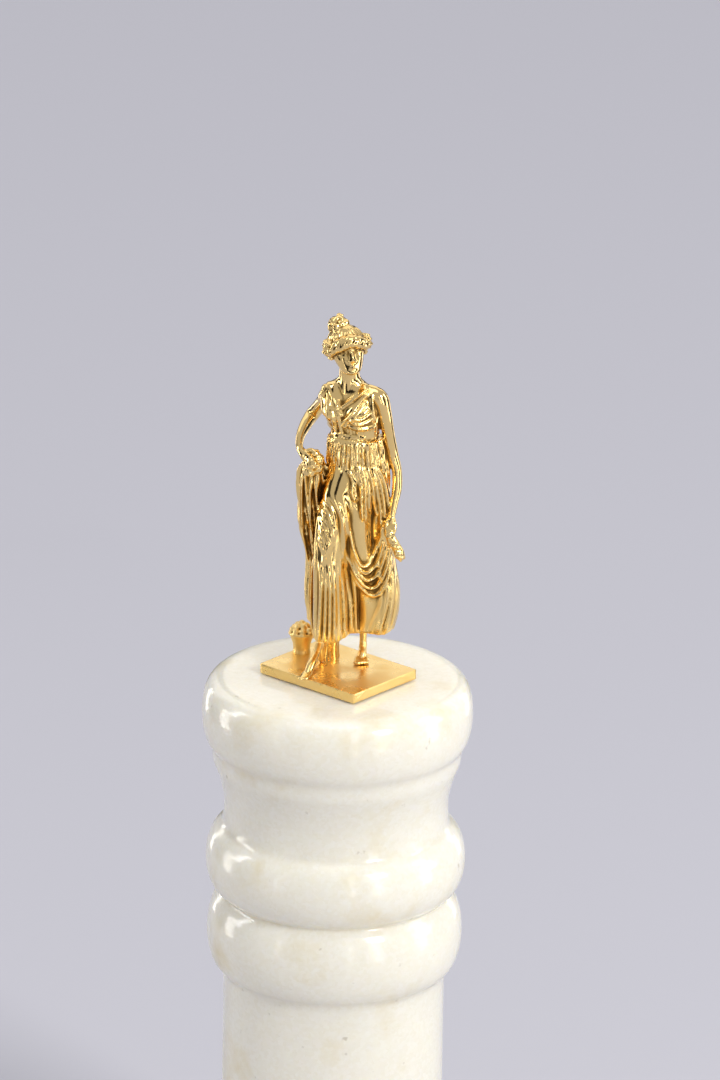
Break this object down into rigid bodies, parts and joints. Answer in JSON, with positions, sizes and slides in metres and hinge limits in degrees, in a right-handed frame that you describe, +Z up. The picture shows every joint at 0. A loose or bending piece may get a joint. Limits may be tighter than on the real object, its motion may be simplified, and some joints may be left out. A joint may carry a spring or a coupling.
{
  "type": "dancer sculpture on marble pillar",
  "caption": "Small gilt casting of a draped classical dancer with a fruit basket, standing on its own slab on a turned white marble pillar.",
  "frame": {"origin": "centre of the underside of the marble pillar", "axes": "+Z up along the pillar's axis, -Y the way the figure faces, +X towards the figure's lowered left hand"},
  "size_m": [0.06, 0.06, 0.2243],
  "materials": {
    "gilt": "gold plated casting, polished, satin in the recesses",
    "marble": "polished white crystalline marble with faint cream stains"
  },
  "bodies": {
    "root": {"gilt_dancer_casting": "gilt", "marble_pillar": "marble"}
  },
  "joints": []
}
